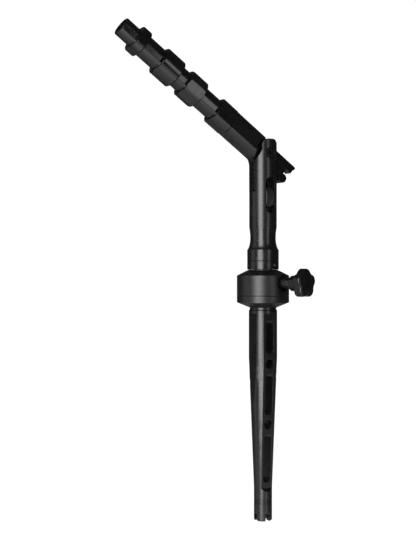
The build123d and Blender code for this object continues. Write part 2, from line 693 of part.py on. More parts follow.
for label, direction in (("front_thumb_button", 1), ("rear_thumb_button", -1)):
    with BuildPart() as thumb_button:
        with BuildSketch(post_side.offset(direction * pad_y)):
            with Locations((0, BUTTON_LOW + BUTTON_HEIGHT / 2)):
                SlotOverall(BUTTON_HEIGHT, BUTTON_SLOT_WIDTH - 2 * SLIDING - BUTTON_PLAY, rotation=90)
        extrude(amount=direction * (BUTTON_FACE - pad_y))
        outer_face = thumb_button.faces().sort_by(Axis.Y)[0 if direction > 0 else -1]
        fillet(outer_face.edges(), BUTTON_EDGE)
        with BuildSketch(cross_pin_plane.offset(direction * pad_y)):
            Circle(CROSS_PIN_RADIUS)
        extrude(amount=direction * CROSS_PIN_REACH, mode=Mode.SUBTRACT)
    finish(thumb_button, label)

spring_height = block_bottom - spring_floor
with BuildPart() as lock_spring:
    with BuildSketch(Plane.XY.offset(spring_floor)):
        Circle(SPRING_RADIUS)
        Circle(SPRING_RADIUS - SPRING_WIRE, mode=Mode.SUBTRACT)
    extrude(amount=spring_height)
finish(lock_spring, "lock_spring")

# ---------------------------------------------------------------- arm
block_flat = ARM_RADIUS * FLAT_SHARE
fin_corner = notch_point(FIN_RADIUS, FIN_FRONT_ANGLE, 0)
front_slope = (fin_corner[1] - ELBOW_ALONG) / (fin_corner[0] + block_flat)
far = CUT_REACH * FIN_RADIUS
plate_top = PLATE_RISE * BLOCK_RELIEF

with BuildPart() as hinge_block:
    with BuildSketch(arm_side) as index_plate:
        Circle(FIN_RADIUS)
        with BuildSketch(arm_side, mode=Mode.INTERSECT):
            outline(
                (REAR_EDGE, -REAR_REACH),
                (REAR_EDGE - REAR_STEP[0] + REAR_SLOPE, -REAR_REACH),
                (REAR_EDGE - REAR_STEP[0], REAR_STEP[1] - REAR_REACH),
                (notch_half, REAR_STEP[1] - REAR_REACH),
                (-far, -far),
                (-far, ELBOW_ALONG - front_slope * (far - block_flat)),
                (-block_flat, ELBOW_ALONG),
                (-block_flat, plate_top),
                (REAR_EDGE, plate_top),
            )
        with BuildSketch(arm_side, mode=Mode.SUBTRACT):
            outline(
                notch_point(ROOT_RADIUS / 2, 0, -notch_half),
                notch_point(far, 0, -notch_half),
                notch_point(1.5 * far, TILT_STEP, 0),
                notch_point(far, 2 * TILT_STEP, notch_half),
                notch_point(ROOT_RADIUS / 2, 2 * TILT_STEP, notch_half),
            )
            Circle(ROOT_RADIUS, mode=Mode.SUBTRACT)
        with Locations(*[notch_point(LAND_CENTRE_RADIUS, (i + 0.5) * TILT_STEP, 0) for i in (0, 1)]):
            Circle(LAND_RADIUS)
        elbow = index_plate.vertices().sort_by_distance((-block_flat, ELBOW_ALONG, 0))[0]
        fillet(elbow, ELBOW_FILLET)
    extrude(amount=TONGUE_THICKNESS / 2, both=True)
    with BuildSketch(arm_plane.offset(BLOCK_START)):
        Circle(ARM_RADIUS)
        Rectangle(2 * block_flat, 2 * block_flat, mode=Mode.INTERSECT)
    extrude(amount=BLOCK_END - BLOCK_START)
    for direction in (-1, 1):
        with BuildSketch(arm_side.offset(direction * TONGUE_THICKNESS / 2)):
            Circle(BLOCK_RELIEF)
        extrude(amount=direction * ARM_RADIUS, mode=Mode.SUBTRACT)
    with BuildSketch(arm_plane.offset(SHAFT_START)):
        Circle(SHAFT_RADIUS)
    extrude(amount=BLOCK_END, mode=Mode.SUBTRACT)
    with BuildSketch(arm_side):
        Circle(PIVOT_RADIUS + RUNNING + PIVOT_BUSH_WALL)
    extrude(amount=ARM_RADIUS, both=True, mode=Mode.SUBTRACT)
    underside = Plane(
        origin=arm_plane.offset(BLOCK_SCREW_ALONG).origin,
        x_dir=(0, 1, 0),
        z_dir=tuple(-value for value in arm_across),
    )
    with BuildSketch(underside.offset(SHAFT_RADIUS - SADDLE_OVERLAP)):
        Circle(BLOCK_SCREW_RADIUS)
    extrude(amount=ARM_RADIUS, mode=Mode.SUBTRACT)
finish(hinge_block, "hinge_block")

with BuildPart() as block_set_screw:
    with BuildSketch(underside.offset(SHAFT_RADIUS)):
        Circle(BLOCK_SCREW_RADIUS)
    extrude(amount=block_flat - SHAFT_RADIUS - SADDLE_RELIEF)
finish(block_set_screw, "block_set_screw")

with BuildPart() as pivot_bush:
    with BuildSketch(arm_side):
        Circle(PIVOT_RADIUS + RUNNING + PIVOT_BUSH_WALL)
        Circle(PIVOT_RADIUS + RUNNING, mode=Mode.SUBTRACT)
    extrude(amount=TONGUE_THICKNESS / 2, both=True)
finish(pivot_bush, "pivot_bush")

for label, direction in (("front_thrust_washer", 1), ("rear_thrust_washer", -1)):
    with BuildPart() as thrust_washer:
        with BuildSketch(arm_side.offset(direction * TONGUE_THICKNESS / 2)):
            Circle(WASHER_RADIUS)
            Circle(PIVOT_RADIUS + RUNNING, mode=Mode.SUBTRACT)
        extrude(amount=direction * WASHER_THICKNESS)
    finish(thrust_washer, label)

tip_start = TIP_RING[1]
with BuildPart() as spigot_shaft:
    with BuildSketch(arm_side):
        outline(
            (0, SHAFT_START),
            (SHAFT_RADIUS, SHAFT_START),
            (SHAFT_RADIUS, tip_start),
            (TIP_RADIUS, tip_start),
            (TIP_RADIUS, TIP_END - TIP_CHAMFER),
            (TIP_RADIUS - TIP_CHAMFER, TIP_END),
            (TIP_BORE_RADIUS, TIP_END),
            (TIP_BORE_RADIUS, TIP_END - TIP_BORE_DEPTH),
            (0, TIP_END - TIP_BORE_DEPTH),
        )
    revolve(axis=arm_axis)
    with BuildSketch(arm_plane.offset(BLOCK_END)):
        with PolarLocations(SHAFT_RADIUS, 2, start_angle=KEYWAY_ANGLE):
            Rectangle(2 * KEYWAY_DEPTH, KEYWAY_WIDTH)
    extrude(amount=TIP_END, mode=Mode.SUBTRACT)
finish(spigot_shaft, "spigot_shaft")


def ring_profile(span, radius):
    """Corners of the section of a chamfered ring that fits the shaft."""
    start, end = span
    return (
        (SHAFT_RADIUS, start),
        (radius - RING_CHAMFER, start),
        (radius, start + RING_CHAMFER),
        (radius, end - RING_CHAMFER),
        (radius - RING_CHAMFER, end),
        (SHAFT_RADIUS, end),
    )


with BuildPart() as rear_ring:
    with BuildSketch(arm_side):
        outline(*ring_profile(REAR_RING, RING_RADIUS))
    revolve(axis=arm_axis)
    with BuildSketch(arm_plane.offset(REAR_RING[0])):
        Rectangle(2 * RING_RADIUS * FLAT_SHARE, 2 * RING_RADIUS * FLAT_SHARE)
    extrude(amount=REAR_RING[1] - REAR_RING[0], mode=Mode.INTERSECT)
finish(rear_ring, "rear_ring")

with BuildPart() as middle_ring:
    with BuildSketch(arm_side):
        outline(*ring_profile(MIDDLE_RING, RING_RADIUS))
    revolve(axis=arm_axis)
    with BuildSketch(arm_plane.offset(MIDDLE_RING[0])):
        RegularPolygon(MIDDLE_RING_APOTHEM, 8, major_radius=False, rotation=9)
    extrude(amount=MIDDLE_RING[1] - MIDDLE_RING[0], mode=Mode.INTERSECT)
finish(middle_ring, "middle_ring")

with BuildPart() as front_ring:
    with BuildSketch(arm_side):
        outline(*ring_profile(FRONT_RING, RING_RADIUS))
    revolve(axis=arm_axis)
finish(front_ring, "front_ring")

with BuildPart() as tip_ring:
    with BuildSketch(arm_side):
        outline(*ring_profile(TIP_RING, TIP_RING_RADIUS))
    revolve(axis=arm_axis)
    with BuildSketch(arm_plane.offset(TIP_RING[0])):
        Rectangle(
            2 * TIP_RING_RADIUS * FLAT_SHARE, 2 * TIP_RING_RADIUS * FLAT_SHARE, rotation=6
        )
    extrude(amount=TIP_RING[1] - TIP_RING[0], mode=Mode.INTERSECT)
finish(tip_ring, "tip_ring")
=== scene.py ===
import json
import math

import bpy
import numpy as np
from bpy.props import FloatProperty, FloatVectorProperty, IntProperty, PointerProperty
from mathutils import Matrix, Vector


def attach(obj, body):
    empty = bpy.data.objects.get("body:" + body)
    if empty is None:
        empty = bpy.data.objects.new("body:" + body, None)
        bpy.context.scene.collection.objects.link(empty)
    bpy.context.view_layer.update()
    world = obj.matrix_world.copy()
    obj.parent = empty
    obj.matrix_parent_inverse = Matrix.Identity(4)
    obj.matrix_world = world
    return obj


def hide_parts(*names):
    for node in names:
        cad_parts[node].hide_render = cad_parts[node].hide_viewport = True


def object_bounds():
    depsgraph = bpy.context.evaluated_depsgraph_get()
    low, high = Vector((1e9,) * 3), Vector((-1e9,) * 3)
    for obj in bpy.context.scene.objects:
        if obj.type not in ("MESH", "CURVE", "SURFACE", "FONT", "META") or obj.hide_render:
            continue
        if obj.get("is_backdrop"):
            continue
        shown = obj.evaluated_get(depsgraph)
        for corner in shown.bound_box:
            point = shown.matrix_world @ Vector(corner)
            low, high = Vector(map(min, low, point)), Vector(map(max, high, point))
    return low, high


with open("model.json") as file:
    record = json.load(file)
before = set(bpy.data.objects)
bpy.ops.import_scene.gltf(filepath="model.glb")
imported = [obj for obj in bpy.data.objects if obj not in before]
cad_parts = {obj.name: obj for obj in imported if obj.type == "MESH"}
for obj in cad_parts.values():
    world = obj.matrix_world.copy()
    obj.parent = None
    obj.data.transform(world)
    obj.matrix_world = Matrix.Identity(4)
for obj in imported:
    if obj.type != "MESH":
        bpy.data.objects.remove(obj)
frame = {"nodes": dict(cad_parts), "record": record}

bl_info = {
    "name": "Tilting Boom Mount",
    "version": (1, 0, 0),
    "blender": (4, 5, 0),
    "location": "View3D > Sidebar > Boom Mount",
    "description": "Detailed pieces, machined finishes and a studio for the tilting boom mount",
    "category": "Object",
}

MM = 0.001
FINISH_PREFIX = "finish_"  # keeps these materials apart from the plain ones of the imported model
NODES = frame["nodes"]
JOINTS = {joint["name"]: joint for joint in frame["record"]["behaviour"]["joints"]}
KNOB_AXIS = np.array(JOINTS["knob_turn"]["axis"])
KNOB_ORIGIN = np.array(JOINTS["knob_turn"]["pos_m"])
ARM_TILT = math.radians(JOINTS["tilt"]["range_deg"][1])
RIDES_ON = {
    node: body for body, members in frame["record"]["behaviour"]["bodies"].items() for node in members
}
SLOT_OF = {entry["node"]: entry["material_slot"] for entry in frame["record"]["subparts"]}
UP = np.array((0.0, 0.0, 1.0))

# Star knob
KNOB_COLUMNS = 180
DOME_ROWS = 14
DOME_CENTRE = 0.02  # radius of the front face's last ring, as a share
HUB_RINGS = np.array([0.05, 0.93, 1.0, 1.06, 1.1])  # radii behind the lobes, as shares of the hub's
HUB_EDGE = 0.5 * MM
HUB_FLARE = 1.5 * MM  # length of the flare just behind the lobes
BACK_EDGE_SHARE = 0.6  # of the front edge's radius
LOBE_FACE_SHARE = 0.9  # of the knob's radius: points further out belong to the lobes
VALLEY_POWER = 1.3  # above 1, it widens the lobes and narrows the valleys' floor

# Thumb buttons
BUTTON_COLUMNS = 144
BUTTON_ROWS = 14
BUTTON_RIM = 1.3 * MM
BUTTON_BACK = 0.95  # inset of the inner face's first ring, as a share of the half width
BUTTON_CENTRE = 0.97  # inset of the outer face's last ring, as a share of the half width
END_SQUARENESS = 4  # how sharply the straight sides turn into the round ends
GROOVED_SHARE = 0.62  # of the half height
GROOVE_FADE = 0.5 * MM
FACE_START = 0.9  # of the rim's inset: rings further in carry the grooves

# Coil spring
STEPS_PER_TURN = 48
WIRE_COLUMNS = 14

# Stage
WHITE_GLOW = 1.05  # of the sweep and the floor, as the eye sees them
DIM_GLOW = 0.05  # of the sweep, as everything else sees it
FLOOR_DROP = 0.3  # metres from the part's lowest point down to the floor
SENSOR_WIDTH = 36  # millimetres
CLIP_NEAR, CLIP_FAR = 0.05, 40
# For each light: its power's setting, its place (forward, right, up) from the middle, its width and height
LIGHTS = {
    "key_light": ("key", (-1.35, -0.56, 0.2), 0.85, 2.0),
    "left_light": ("left", (-0.25, -1.5, 0.2), 0.9, 2.0),
    "side_light": ("fill", (-1.15, 0.98, 0), 0.3, 1.6),
    "under_light": ("under", (-0.5, 0.2, -0.62), 1.2, 1.2),
}


# ---------------------------------------------------------------- sizes and looks a user would change
class BoomMountKnob(bpy.types.PropertyGroup):
    """Shape of the moulded star knob."""

    lobes: IntProperty(name="Lobes", description="Number of lobes round the knob", default=5, min=3)
    valley: FloatProperty(
        name="Valley", description="Depth of a valley as a share of the radius", default=0.175
    )
    edge: FloatProperty(
        name="Edge", description="Radius of the rounded edges", default=3.6 * MM, unit="LENGTH"
    )
    dome: FloatProperty(
        name="Dome", description="Rise of the front face at its middle", default=1.6 * MM, unit="LENGTH"
    )


class BoomMountButtons(bpy.types.PropertyGroup):
    """Shape of the two thumb buttons."""

    crown: FloatProperty(
        name="Crown", description="Height of the middle over the ends", default=4.6 * MM, unit="LENGTH"
    )
    rise: FloatProperty(
        name="Rise", description="Height of the middle over the plain block", default=0.7 * MM, unit="LENGTH"
    )
    groove_pitch: FloatProperty(
        name="Groove pitch", description="Distance between grip grooves", default=2.4 * MM, unit="LENGTH"
    )
    groove_depth: FloatProperty(
        name="Groove depth", description="Depth of the grip grooves", default=0.35 * MM, unit="LENGTH"
    )


class BoomMountSpring(bpy.types.PropertyGroup):
    """Shape of the coil spring under the thumb lock."""

    turns: FloatProperty(name="Turns", description="Turns of the coil", default=8.5)
    wire: FloatProperty(
        name="Wire", description="Diameter of the spring wire", default=0.95 * MM, unit="LENGTH"
    )


class BoomMountFinish(bpy.types.PropertyGroup):
    """Colours of the finishes."""

    black: FloatVectorProperty(
        name="Anodised black", description="Colour of the anodised aluminium", subtype="COLOR",
        default=(0.0020, 0.0021, 0.0023), size=3,
    )
    worn_black: FloatVectorProperty(
        name="Lighter black", description="Colour of its lighter patches and edges", subtype="COLOR",
        default=(0.0052, 0.0053, 0.0058), size=3,
    )
    plastic: FloatVectorProperty(
        name="Knob plastic", description="Colour of the moulded knob", subtype="COLOR",
        default=(0.0030, 0.0030, 0.0032), size=3,
    )


class BoomMountStage(bpy.types.PropertyGroup):
    """Camera and lights."""

    distance: FloatProperty(
        name="Camera distance", description="From the camera to the insert's axis", default=1.38,
        unit="LENGTH",
    )
    azimuth: FloatProperty(
        name="Camera azimuth", description="Direction the camera looks along, from +Y",
        default=math.radians(30), subtype="ANGLE",
    )
    aside: FloatProperty(
        name="Aside", description="How far the axis stands right of the camera's line", default=0.0759,
        unit="LENGTH",
    )
    height: FloatProperty(
        name="Camera height", description="Height of the camera", default=0.3439, unit="LENGTH"
    )
    lens: FloatProperty(name="Lens", description="Focal length in millimetres", default=66.5)
    key: FloatProperty(
        name="Key light", description="Power of the large soft light", default=36.0, unit="POWER"
    )
    left: FloatProperty(
        name="Left light", description="Power of the light on the left", default=3.5, unit="POWER"
    )
    fill: FloatProperty(
        name="Side light", description="Power of the narrow soft light", default=3.2, unit="POWER"
    )
    under: FloatProperty(
        name="Under light", description="Power of the light from below", default=1.2, unit="POWER"
    )


SETTINGS = {
    "boom_mount_knob": BoomMountKnob,
    "boom_mount_buttons": BoomMountButtons,
    "boom_mount_spring": BoomMountSpring,
    "boom_mount_finish": BoomMountFinish,
    "boom_mount_stage": BoomMountStage,
}


# ---------------------------------------------------------------- mesh helpers
def node_points(name):
    """All vertices of a CAD node at rest, as an array with one row for each."""
    mesh = NODES[name].data
    points = np.empty(3 * len(mesh.vertices))
    mesh.vertices.foreach_get("co", points)
    return points.reshape(-1, 3)


def grid_faces(rows, columns):
    """Quads of a grid whose columns close into a ring: corner (i, j) joins (i, j+1), (i+1, j+1), (i+1, j)."""
    i, j = np.meshgrid(np.arange(rows - 1), np.arange(columns), indexing="ij")
    k = (j + 1) % columns
    return np.stack((i * columns + j, i * columns + k, (i + 1) * columns + k, (i + 1) * columns + j), -1)


def ring_surface(name, points, smooth_angle=40):
    """Closed mesh from a grid of rings, points[row, column], with a pole added at each end."""
    rows, columns, _ = points.shape
    poles = np.stack((points[0].mean(0), points[-1].mean(0)))
    vertices = np.concatenate((points.reshape(-1, 3), poles))
    quads = grid_faces(rows, columns).reshape(-1, 4)
    j = np.arange(columns)
    k = (j + 1) % columns
    first, last = rows * columns, (rows - 1) * columns
    start_cap = np.stack((np.full(columns, first), k, j), -1)
    end_cap = np.stack((np.full(columns, first + 1), last + j, last + k), -1)
    mesh = bpy.data.meshes.new(name)
    mesh.from_pydata(vertices.tolist(), [], quads.tolist() + start_cap.tolist() + end_cap.tolist())
    mesh.validate()
    mesh.shade_smooth()
    mesh.set_sharp_from_angle(angle=math.radians(smooth_angle))
    piece = bpy.data.objects.new(name, mesh)
    bpy.context.scene.collection.objects.link(piece)
    return piece


def place(piece, node, material):
    """The piece stands for a CAD node: it rides on the node's body, takes the given material and hides the
    node.
    """
    piece.data.materials.append(material)
    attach(piece, RIDES_ON[node])
    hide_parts(node)


def rounded_corner(radius, count=9):
    """(inward, along) offsets of a quarter circle of that radius, from its side to its face."""
    a = np.linspace(0, np.pi / 2, count)
    return radius * (1 - np.cos(a)), radius * np.sin(a)


# ---------------------------------------------------------------- surfaces
def knob_surface(settings):
    """Rings of the star knob about its axis.

    Behind the lobes a ring is round, with a share of the hub's radius. In the lobes it is a star,
    r = R (1 - d ((1 - cos(n t)) / 2) ** VALLEY_POWER), with n lobes and the valley's depth d, scaled by a
    quarter circle at both edges. The front rises towards its middle as a parabola.
    """
    along = (node_points("star_knob") - KNOB_ORIGIN) @ KNOB_AXIS
    off_axis = node_points("star_knob") - KNOB_ORIGIN - np.outer(along, KNOB_AXIS)
    size = np.linalg.norm(off_axis, axis=1)
    back, front, radius = along.min(), along.max(), size.max()
    hub = size[along < back + 0.1 * MM].max()
    lobes_back = along[size > LOBE_FACE_SHARE * radius].min() - 0.5 * settings.edge
    edge, small = settings.edge, BACK_EDGE_SHARE * settings.edge
    inset_back, rise_back = rounded_corner(small)
    inset_front, rise_front = rounded_corner(edge)
    shrink = np.linspace(1, DOME_CENTRE, DOME_ROWS)
    flat_scale = (radius - edge) / radius
    h = np.concatenate((
        [back, back, back + HUB_EDGE, lobes_back - HUB_FLARE, lobes_back],
        lobes_back + small - rise_back[::-1],
        front - settings.dome - edge + rise_front,
        front - settings.dome * shrink[1:] ** 2,
    ))
    scale = np.concatenate((
        1 - inset_back[::-1] / radius,
        1 - inset_front / radius,
        flat_scale * shrink[1:],
    ))
    t = np.linspace(0, 2 * np.pi, KNOB_COLUMNS, endpoint=False)
    star = radius * (1 - settings.valley * ((1 - np.cos(settings.lobes * t)) / 2) ** VALLEY_POWER)
    r = np.concatenate((np.outer(hub * HUB_RINGS, np.ones(KNOB_COLUMNS)), np.outer(scale, star)))
    ring = np.outer(np.cos(t), UP) + np.outer(np.sin(t), np.cross(KNOB_AXIS, UP))
    return KNOB_ORIGIN + h[:, None, None] * KNOB_AXIS + r[..., None] * ring


def button_surface(settings, node):
    """Rings of a thumb button, from its inner face outwards.

    A ring is nearly a stadium, x = w cos t and z = w sin t + s tanh(END_SQUARENESS sin t), with half width w
    and straight sides about 2 s long. The outer face lies at y = rise + face - crown (z / half height)**2,
    less grooves depth (1 - cos(2 pi z / pitch)) / 2 up to GROOVED_SHARE of the half height. Its rim is a
    quarter circle.
    """
    points = node_points(node)
    low, high = points.min(0), points.max(0)
    turn = 1 if high[1] > 0 else -1
    inner, face = (low[1], high[1]) if turn > 0 else (-high[1], -low[1])
    w, half, middle = high[0], (high[2] - low[2]) / 2, (high[2] + low[2]) / 2
    straight = half - w
    t = np.linspace(0, 2 * np.pi, BUTTON_COLUMNS, endpoint=False)
    edge_in, edge_up = rounded_corner(BUTTON_RIM)
    face_in = np.linspace(edge_in[-1], BUTTON_CENTRE * w, BUTTON_ROWS)[1:]
    inset = np.concatenate(([BUTTON_BACK * w, 0, 0, 0], edge_in, face_in))
    lift = np.concatenate(([0, 0, 0.2, 0.8], np.ones(len(inset) - 4)))
    drop = np.zeros(len(inset))
    drop[4:4 + len(edge_up)] = edge_up[-1] - edge_up
    cap = straight * np.tanh(np.sin(t) * END_SQUARENESS)
    x = (w - inset)[:, None] * np.cos(t)
    z = (w - inset)[:, None] * np.sin(t) + cap * np.where(inset < 0.9 * w, 1, 0.999)[:, None]
    crowned = settings.rise + face - settings.crown * (z / half) ** 2
    on_face = (inset > FACE_START * edge_in[-1])[:, None]
    inside = np.clip((GROOVED_SHARE * half - np.abs(z)) / GROOVE_FADE, 0, 1) * on_face
    grooves = settings.groove_depth * (1 - np.cos(2 * np.pi * z / settings.groove_pitch)) / 2 * inside
    y = inner + lift[:, None] * (crowned - grooves - inner) - drop[:, None]
    grid = np.stack((turn * x, -np.abs(y) if turn < 0 else y, middle + z), -1)
    return grid[:, ::-1]


def coil_surface(settings):
    """Rings of round wire carried along a helix, p = (R cos a, R sin a, z0 + rise a / (2 pi turns))."""
    points = node_points("lock_spring")
    low, high = points.min(0), points.max(0)
    wire = settings.wire / 2
    mean = high[0] - wire
    a = np.linspace(0, 2 * np.pi * settings.turns, int(STEPS_PER_TURN * settings.turns))
    z = np.linspace(low[2] + wire, high[2] - wire, len(a))
    outward = np.stack((np.cos(a), np.sin(a), np.zeros_like(a)), -1)
    centre = mean * outward + np.outer(z, UP)
    t = np.linspace(0, 2 * np.pi, WIRE_COLUMNS, endpoint=False)
    rings = centre[:, None] + wire * (np.cos(t)[:, None] * outward[:, None] + np.outer(np.sin(t), UP))
    return rings[:, ::-1]


# ---------------------------------------------------------------- material nodes
class Shader:
    """A new material with a Principled shader, patterned in Object coordinates turned about Y."""

    def __init__(self, name, turn=0.0):
        self.material = bpy.data.materials.new(FINISH_PREFIX + name)
        self.material.use_nodes = True
        self.tree = self.material.node_tree
        self.principled = self.tree.nodes["Principled BSDF"]
        coordinates = self.tree.nodes.new("ShaderNodeTexCoord")
        mapping = self.tree.nodes.new("ShaderNodeMapping")
        mapping.inputs["Rotation"].default_value = (0, turn, 0)
        self.tree.links.new(coordinates.outputs["Object"], mapping.inputs["Vector"])
        self.vector = mapping.outputs["Vector"]

    def stretched(self, scale):
        """The pattern's coordinates, stretched by a scale for each axis."""
        node = self.tree.nodes.new("ShaderNodeVectorMath")
        node.operation = "MULTIPLY"
        node.inputs[1].default_value = scale
        self.tree.links.new(self.vector, node.inputs[0])
        return node.outputs["Vector"]

    def noise(self, scale, detail=3.0, vector=None):
        """Value of a noise pattern with that many features to the metre."""
        node = self.tree.nodes.new("ShaderNodeTexNoise")
        node.inputs["Scale"].default_value = scale
        node.inputs["Detail"].default_value = detail
        self.tree.links.new(vector or self.vector, node.inputs["Vector"])
        return node.outputs["Fac"]

    def turning_lines(self, pitch):
        """Value of fine rings about Z, as a lathe tool leaves them, a pitch apart."""
        node = self.tree.nodes.new("ShaderNodeTexWave")
        node.bands_direction = "Z"
        node.inputs["Scale"].default_value = 2 * math.pi / (20 * pitch)
        node.inputs["Distortion"].default_value = 1.5
        node.inputs["Detail"].default_value = 2.0
        node.inputs["Detail Scale"].default_value = 4.0
        self.tree.links.new(self.vector, node.inputs["Vector"])
        return node.outputs["Fac"]

    def ramp(self, value, low, high, start=0.3, end=0.7):
        """Colour that runs from low to high as a value goes from start to end."""
        node = self.tree.nodes.new("ShaderNodeValToRGB")
        node.color_ramp.elements[0].position = start
        node.color_ramp.elements[1].position = end
        node.color_ramp.elements[0].color = (*low, 1)
        node.color_ramp.elements[1].color = (*high, 1)
        self.tree.links.new(value, node.inputs["Fac"])
        return node.outputs["Color"]

    def span(self, value, low, high):
        """Value stretched from 0.3-0.7 to low-high."""
        node = self.tree.nodes.new("ShaderNodeMapRange")
        node.inputs["From Min"].default_value = 0.3
        node.inputs["From Max"].default_value = 0.7
        node.inputs["To Min"].default_value = low
        node.inputs["To Max"].default_value = high
        self.tree.links.new(value, node.inputs["Value"])
        return node.outputs["Result"]

    def bump(self, value, strength, distance, normal=None):
        """Normal raised by a value over a distance in metres."""
        node = self.tree.nodes.new("ShaderNodeBump")
        node.inputs["Strength"].default_value = strength
        node.inputs["Distance"].default_value = distance
        self.tree.links.new(value, node.inputs["Height"])
        if normal:
            self.tree.links.new(normal, node.inputs["Normal"])
        return node.outputs["Normal"]

    def soft_edges(self, radius):
        """Normal rounded over the edges, as a tumbled part's are."""
        node = self.tree.nodes.new("ShaderNodeBevel")
        node.samples = 4
        node.inputs["Radius"].default_value = radius
        return node.outputs["Normal"]

    def finish(self, colour, roughness, normal, metallic=0.0, specular=0.5):
        """Joins colour, roughness and normal to the shader and returns the material."""
        self.principled.inputs["Metallic"].default_value = metallic
        self.principled.inputs["Specular IOR Level"].default_value = specular
        self.tree.links.new(colour, self.principled.inputs["Base Color"])
        self.tree.links.new(roughness, self.principled.inputs["Roughness"])
        self.tree.links.new(normal, self.principled.inputs["Normal"])
        return self.material


def anodised(name, look, gloss, pitch, turn=0.0):
    """Black anodised aluminium: dyed oxide with faint cloudy patches, and turning lines a pitch apart."""
    shader = Shader(name, turn)
    patches = shader.noise(38, 4)
    colour = shader.ramp(patches, look.black, look.worn_black, 0.35, 0.8)
    grain = shader.noise(2600, 2)
    roughness = shader.span(shader.noise(160, 5), gloss - 0.04, gloss + 0.06)
    rounded = shader.soft_edges(0.5 * MM)
    lines = shader.bump(shader.turning_lines(pitch), 0.06, 0.02 * MM, rounded)
    normal = shader.bump(grain, 0.05, 0.01 * MM, lines)
    return shader.finish(colour, roughness, normal, specular=0.62)


def milled(name, look, gloss, turn=0.0):
    """Black anodised aluminium with fine lengthwise milling marks along Z."""
    shader = Shader(name, turn)
    streaks = shader.noise(1.0, 4, shader.stretched((1400, 1400, 30)))
    patches = shader.noise(30, 4)
    colour = shader.ramp(patches, look.black, look.worn_black, 0.35, 0.8)
    roughness = shader.span(streaks, gloss - 0.03, gloss + 0.07)
    rounded = shader.soft_edges(0.5 * MM)
    normal = shader.bump(streaks, 0.07, 0.012 * MM, rounded)
    return shader.finish(colour, roughness, normal, specular=0.62)


def blasted(name, look):
    """Black anodised aluminium, blasted to an even fine grain."""
    shader = Shader(name)
    grain = shader.noise(3200, 4)
    colour = shader.ramp(shader.noise(120, 3), look.black, look.worn_black)
    roughness = shader.span(grain, 0.36, 0.5)
    normal = shader.bump(grain, 0.3, 0.03 * MM, shader.soft_edges(0.4 * MM))
    return shader.finish(colour, roughness, normal, specular=0.6)


def bare_metal(name, dark, light, rough, pitch=0.25 * MM, turn=0.0):
    """Uncoated metal with turning lines and uneven polish."""
    shader = Shader(name, turn)
    colour = shader.ramp(shader.noise(220, 4), dark, light)
    roughness = shader.span(shader.noise(700, 3), rough - 0.06, rough + 0.08)
    normal = shader.bump(shader.turning_lines(pitch), 0.2, 0.03 * MM, shader.soft_edges(0.2 * MM))
    return shader.finish(colour, roughness, normal, metallic=1.0)


def moulded(name, colour_low, colour_high, rough, grain_scale=1800):
    """Moulded plastic with a fine spark-eroded grain."""
    shader = Shader(name)
    grain = shader.noise(grain_scale, 3)
    colour = shader.ramp(shader.noise(90, 3), colour_low, colour_high)
    roughness = shader.span(shader.noise(400, 3), rough - 0.04, rough + 0.06)
    normal = shader.bump(grain, 0.1, 0.012 * MM)
    return shader.finish(colour, roughness, normal, specular=0.42)


def make_finishes(look):
    """One material for each slot of the record, keyed by slot, with turned ones for the leaning arm."""
    lighter_plastic = tuple(1.9 * value for value in look.plastic)
    return {
        "satin_black": milled("satin_black", look, 0.27),
        "arm_satin_black": milled("arm_satin_black", look, 0.15, ARM_TILT),
        "collar_black": anodised("collar_black", look, 0.38, 0.45 * MM),
        "turned_black": anodised("turned_black", look, 0.26, 0.35 * MM),
        "arm_turned_black": anodised("arm_turned_black", look, 0.13, 0.35 * MM, ARM_TILT),
        "button_black": blasted("button_black", look),
        "black_steel": bare_metal("black_steel", (0.03, 0.03, 0.032), (0.06, 0.06, 0.063), 0.34),
        "bright_steel": bare_metal("bright_steel", (0.52, 0.52, 0.53), (0.7, 0.7, 0.71), 0.26),
        "spring_steel": bare_metal("spring_steel", (0.3, 0.3, 0.31), (0.5, 0.5, 0.51), 0.3),
        "bronze": bare_metal("bronze", (0.42, 0.26, 0.11), (0.56, 0.37, 0.18), 0.42),
        "brass": bare_metal("brass", (0.62, 0.44, 0.16), (0.76, 0.58, 0.27), 0.28),
        "knob_plastic": moulded("knob_plastic", look.plastic, lighter_plastic, 0.16),
        "acetal": moulded("acetal", (0.006, 0.006, 0.006), (0.012, 0.012, 0.012), 0.42, 900),
    }


# ---------------------------------------------------------------- operators
def finish_for(slot):
    """The finished material of a slot, made by the finishes operator."""
    material = bpy.data.materials.get(FINISH_PREFIX + slot)
    if material is None:
        raise RuntimeError(f"run the finishes first: there is no material {slot}")
    return material


class BoomMountAddFinishes(bpy.types.Operator):
    """Makes the finishes and gives each carried-over piece its own"""

    bl_idname = "boom_mount.add_finishes"
    bl_label = "Add finishes"

    def execute(self, context):
        finishes = make_finishes(context.scene.boom_mount_finish)
        for name, node in NODES.items():
            slot = SLOT_OF[name]
            key = f"arm_{slot}" if RIDES_ON[name] == "arm" else slot
            node.data.materials.clear()
            node.data.materials.append(finishes.get(key, finishes[slot]))
        return {"FINISHED"}


class BoomMountAddKnob(bpy.types.Operator):
    """Makes the moulded star knob"""

    bl_idname = "boom_mount.add_knob"
    bl_label = "Add star knob"

    def execute(self, context):
        piece = ring_surface("moulded_star_knob", knob_surface(context.scene.boom_mount_knob))
        place(piece, "star_knob", finish_for("knob_plastic"))
        return {"FINISHED"}


class BoomMountAddButtons(bpy.types.Operator):
    """Makes the two crowned and grooved thumb buttons"""

    bl_idname = "boom_mount.add_buttons"
    bl_label = "Add thumb buttons"

    def execute(self, context):
        for side in ("front", "rear"):
            node = f"{side}_thumb_button"
            piece = ring_surface(f"grooved_{node}", button_surface(context.scene.boom_mount_buttons, node))
            place(piece, node, finish_for("button_black"))
        return {"FINISHED"}


